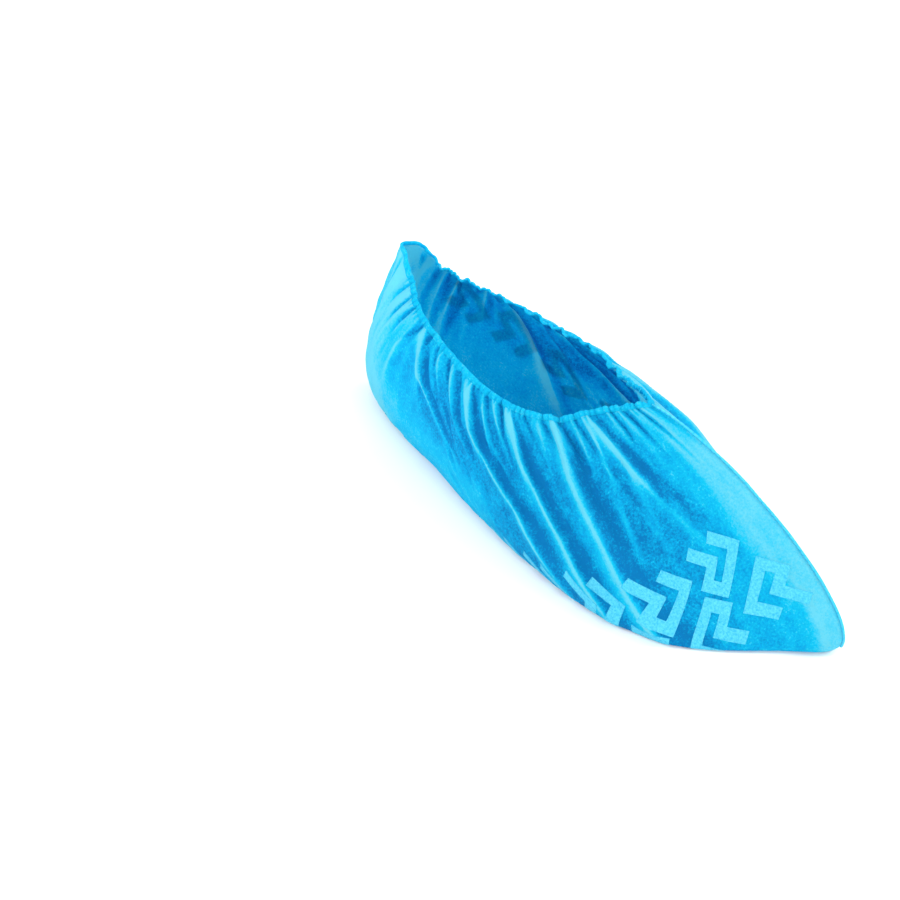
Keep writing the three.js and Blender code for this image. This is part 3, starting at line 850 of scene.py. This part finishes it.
def grip_coating(name):
    """A thin soft print with the felt's grain in it."""
    material = bpy.data.materials.new(name)
    material.use_nodes = True
    tree = material.node_tree
    shade = tree.nodes["Principled BSDF"]
    place = real_millimetres(tree)
    grain = node(tree, "ShaderNodeTexNoise", {"Vector": place},
                 Scale=GRAINS_TO_A_MM, Detail=3.0, Roughness=0.75)
    ramp = node(tree, "ShaderNodeValToRGB", {"Fac": grain.outputs["Fac"]})
    ramp.color_ramp.elements[0].position = 0.3
    ramp.color_ramp.elements[0].color = colour("#1AACD8")
    ramp.color_ramp.elements[1].position = 0.62
    ramp.color_ramp.elements[1].color = colour("#58D0EA")
    bump = node(tree, "ShaderNodeBump", {"Height": grain.outputs["Fac"]}, Strength=0.3, Distance=0.0003)
    tree.links.new(ramp.outputs[0], shade.inputs["Base Color"])
    tree.links.new(bump.outputs["Normal"], shade.inputs["Normal"])
    shade.inputs["Roughness"].default_value = 0.55
    shade.inputs["Specular IOR Level"].default_value = 0.25
    mix_glow(tree, shade, ramp.outputs[0], COATING_THROUGH)
    return material


nodes_modifier(grip, lay_print, Mark=mark, Cloth=skin, Proud=PRINT_PROUD * MM, Sunk=-PRINT_SUNK * MM,
               Coating=grip_coating("soft grip coating"))
settle(grip)
for helper in (skin, mark):
    bpy.data.objects.remove(helper)
print("grip_print:", len(grip.data.polygons), "faces")

# %% [markdown]
# ## The pressed welds
# A toothed wheel presses the seams, and each tooth melts a short dash of both layers into a film. They could
# be a bump in the material, but then they would have no shape of their own. Geometry Nodes put one thin slab
# at each step of a line along the ribbon, turned along it, so the row follows any seam that it is given.

# %% Press the welds into the seams
# Real welds are about 1 mm long. They are drawn twice as coarse so that they show.
WELD_PITCH = 3.2  # mm
WELD_LONG, WELD_HIGH = 2.1, 0.9  # mm
WELD_PROUD = 0.06  # mm
SEAM_SECTION = 2 * len(FIN_LAYERS)  # points round a ribbon
WELD_ENDS = 6  # steps of the ribbon that are left bare at both ends


def weld_tree():
    """Geometry Nodes: one pressed dash every few millimetres along a line, turned along it."""
    tree = bpy.data.node_groups.new("row of welds", "GeometryNodeTree")
    sockets = tree.interface
    sockets.new_socket("Geometry", in_out="INPUT", socket_type="NodeSocketGeometry")
    sockets.new_socket("Pitch", in_out="INPUT", socket_type="NodeSocketFloat")
    sockets.new_socket("Long", in_out="INPUT", socket_type="NodeSocketFloat")
    sockets.new_socket("Thick", in_out="INPUT", socket_type="NodeSocketFloat")
    sockets.new_socket("High", in_out="INPUT", socket_type="NodeSocketFloat")
    sockets.new_socket("Finish", in_out="INPUT", socket_type="NodeSocketMaterial")
    sockets.new_socket("Geometry", in_out="OUTPUT", socket_type="NodeSocketGeometry")
    given = node(tree, "NodeGroupInput").outputs
    line = node(tree, "GeometryNodeMeshToCurve", {"Mesh": given["Geometry"]})
    even = node(tree, "GeometryNodeResampleCurve", {"Curve": line.outputs[0], "Length": given["Pitch"]},
                mode="LENGTH")
    size = node(tree, "ShaderNodeCombineXYZ", {"X": given["Long"], "Y": given["Thick"], "Z": given["High"]})
    dash = node(tree, "GeometryNodeMeshCube", {"Size": size.outputs[0]})
    ahead = node(tree, "GeometryNodeInputTangent")
    turn = node(tree, "FunctionNodeAlignRotationToVector", {"Vector": ahead.outputs[0]},
                axis="X", pivot_axis="Y")
    row = node(tree, "GeometryNodeInstanceOnPoints", {
        "Points": even.outputs[0], "Instance": dash.outputs[0], "Rotation": turn.outputs[0]})
    real = node(tree, "GeometryNodeRealizeInstances", {"Geometry": row.outputs[0]})
    done = node(tree, "GeometryNodeSetMaterial", {"Geometry": real.outputs[0], "Material": given["Finish"]})
    node(tree, "NodeGroupOutput", {"Geometry": done.outputs[0]})
    return tree


def pressed_film(name):
    """Felt that was melted to a clear smooth film: paler than the cloth, with a small shine."""
    material = bpy.data.materials.new(name)
    material.use_nodes = True
    shade = material.node_tree.nodes["Principled BSDF"]
    shade.inputs["Base Color"].default_value = colour("#48C8F2")
    shade.inputs["Roughness"].default_value = 0.3
    return material


def weld_line(weld, share):
    """The line along a seam ribbon on which the welds lie, as a chain of points in its middle plane."""
    points = np.array([v.co for v in weld.data.vertices]).reshape(-1, SEAM_SECTION, 3)
    inner = (points[:, 0] + points[:, -1]) / 2
    outer = (points[:, SEAM_SECTION // 2 - 1] + points[:, SEAM_SECTION // 2]) / 2
    return inner * (1 - share) + outer * share


chains, links = [], []
for weld, share in ((toe_weld, 0.62), (heel_weld, 0.45)):
    chain = weld_line(weld, share)[WELD_ENDS:-WELD_ENDS]
    first = sum(map(len, chains))
    links += [(first + k, first + k + 1) for k in range(len(chain) - 1)]
    chains.append(chain)
mesh = bpy.data.meshes.new("weld_marks")
mesh.from_pydata(np.concatenate(chains).tolist(), links, [])
welds = bpy.data.objects.new("weld_marks", mesh)
bpy.context.collection.objects.link(welds)
through_seam = 2 * FIN_LAYERS[0][1] * SEAM_THICK + 2 * WELD_PROUD
nodes_modifier(welds, weld_tree(), Pitch=WELD_PITCH * MM, Long=WELD_LONG * MM, Thick=through_seam * MM,
               High=WELD_HIGH * MM, Finish=pressed_film("pressed film"))
settle(welds)
print("weld_marks:", len(welds.data.polygons), "faces")

# %% [markdown]
# ## In place of the CAD solids
# The CAD has a thick plain wall for each soft piece, which physics needs. Each is taken over by the piece
# drawn here, and rides the one body that the cover has.

# %% Replace the CAD solids
for piece, solid, slot in (
    (cover, "cover_body", "nonwoven_cloth"),
    (hem, "elastic_hem", "gathered_hem"),
    (toe_weld, "toe_seam", "welded_seam"),
    (heel_weld, "heel_seam", "welded_seam"),
):
    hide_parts(solid)
    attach(piece, "root")
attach(grip, "root")
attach(welds, "root")
print("pieces:", [piece.name for piece in (cover, hem, toe_weld, heel_weld, grip, welds)])

# %% [markdown]
# ## Floor and light
# Thin blue cloth looks its best on white, in light that comes from all round. A single sun would make hard
# shadows in the folds. Three large soft lamps give the folds a bright and a dark side, the one behind shines
# through the cloth, and a nearly white world fills the rest.

# %% Floor
FLOOR_RADIUS = 2.6  # m
FLOOR_SINKS = 0.0003  # m that the floor lies lower, so that the print under the sole doesn't cut it
floor_mesh = bpy.data.meshes.new("floor")
angles = [math.radians(a) for a in range(0, 360, 6)]
rim = [(FLOOR_RADIUS * math.cos(a), FLOOR_RADIUS * math.sin(a), 0) for a in angles]
floor_mesh.from_pydata(rim, [], [tuple(range(len(rim)))])
floor = bpy.data.objects.new("floor", floor_mesh)
floor.location.z = -FLOOR_SINKS
bpy.context.collection.objects.link(floor)
paper = bpy.data.materials.new("white paper")
paper.use_nodes = True
paper.node_tree.nodes["Principled BSDF"].inputs["Base Color"].default_value = (0.9, 0.9, 0.9, 1)
paper.node_tree.nodes["Principled BSDF"].inputs["Roughness"].default_value = 0.9
floor.data.materials.append(paper)
print("floor:", 2 * FLOOR_RADIUS, "m across")

# %% Lamps and world
LAMP_AIM = (0, 0, 0.04)


def area_light(name, place, size, power):
    """A square lamp at a place, turned to the cover. size in m, power in W."""
    data = bpy.data.lights.new(name, "AREA")
    data.size, data.energy = size, power
    lamp = bpy.data.objects.new(name, data)
    lamp.location = place
    lamp.rotation_mode = "QUATERNION"
    lamp.rotation_quaternion = (Vector(place) - Vector(LAMP_AIM)).to_track_quat("Z", "Y")
    bpy.context.collection.objects.link(lamp)
    return lamp


area_light("key", (-0.9, -1.0, 0.9), size=0.5, power=11)
area_light("fill", (1.2, -0.7, 0.9), size=0.9, power=10)
area_light("back", (0.8, 1.1, 1.0), size=0.9, power=16)
world = bpy.data.worlds.new("studio")
world.use_nodes = True
direction = node(world.node_tree, "ShaderNodeTexCoord").outputs["Generated"]
rising = node(world.node_tree, "ShaderNodeSeparateXYZ", {"Vector": direction})
wall_light = node(world.node_tree, "ShaderNodeMapRange", {"Value": rising.outputs["Z"]},
                  interpolation_type="SMOOTHSTEP")
# A little brighter at the horizon, where it meets the floor, than overhead.
for socket, value in (("From Min", 0.12), ("From Max", 0.6), ("To Min", 1.05), ("To Max", 0.98)):
    wall_light.inputs[socket].default_value = value
background = world.node_tree.nodes["Background"]
background.inputs["Color"].default_value = (1, 1, 1, 1)
world.node_tree.links.new(wall_light.outputs[0], background.inputs["Strength"])
bpy.context.scene.world = world
print("lamps:", [lamp.name for lamp in bpy.data.lights])

# %% [markdown]
# ## Camera
# The photograph was taken from above the toe, on the cover's right, with the camera a little tilted. The
# place, lens and tilt were found by laying the outline of the render over it until they met. A solver could
# find them too, but four settings are quickly tried one by one.

# %% Camera
CAMERA_PLACE = (0.4563, -0.7103, 0.7071)  # m
CAMERA_AIM = (-0.0749, -0.0372, 0.02)  # m
CAMERA_ROLL = math.radians(4.43)
CAMERA_LENS = 76.7  # mm, on a sensor 36 mm wide
SENSOR_WIDE = 36


def look_at(place, aim, roll):
    """The matrix of a camera at a place that looks at a point, tilted by roll."""
    back = (Vector(place) - Vector(aim)).normalized()
    right = Vector((0, 0, 1)).cross(back).normalized()
    up = back.cross(right)
    turned = right * math.cos(roll) + up * math.sin(roll)
    risen = up * math.cos(roll) - right * math.sin(roll)
    m = Matrix((turned, risen, back)).transposed().to_4x4()
    m.translation = Vector(place)
    return m


camera_data = bpy.data.cameras.new("camera")
camera_data.lens = CAMERA_LENS
camera_data.sensor_width = SENSOR_WIDE
camera = bpy.data.objects.new("camera", camera_data)
camera.matrix_world = look_at(CAMERA_PLACE, CAMERA_AIM, CAMERA_ROLL)
bpy.context.collection.objects.link(camera)
bpy.context.scene.camera = camera
bpy.context.scene.view_settings.view_transform = "Standard"  # keeps the strong blue of the cloth
print("camera to cover, m:", round((Vector(CAMERA_PLACE) - Vector(CAMERA_AIM)).length, 2))
